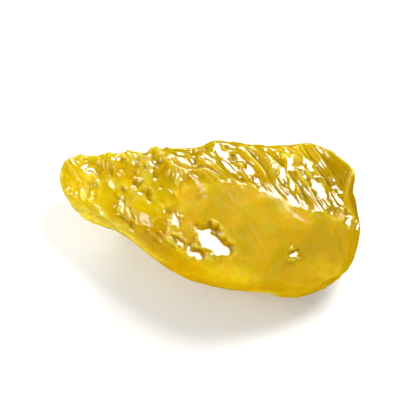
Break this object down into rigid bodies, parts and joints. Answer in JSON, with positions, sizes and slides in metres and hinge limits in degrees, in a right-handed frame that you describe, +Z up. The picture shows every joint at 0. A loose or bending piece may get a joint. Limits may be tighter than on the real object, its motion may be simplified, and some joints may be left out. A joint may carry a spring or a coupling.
{
  "type": "rough yellow agate stone",
  "caption": "Rough, see-through yellow agate stone with a narrow rounded tip, a broad end and a stepped back face, lying on a flat broken under-face.",
  "frame": {"origin": "on the surface that the stone lies on, under the middle of its bounding box", "axes": "+X along the stone's length from the narrow tip to the broad end, +Y towards the stepped back face, +Z up from the flat under-face"},
  "size_m": [0.016, 0.0086, 0.0062],
  "materials": {
    "yellow_agate": "gloss"
  },
  "bodies": {
    "root": {"agate_stone": "yellow_agate"}
  },
  "joints": []
}
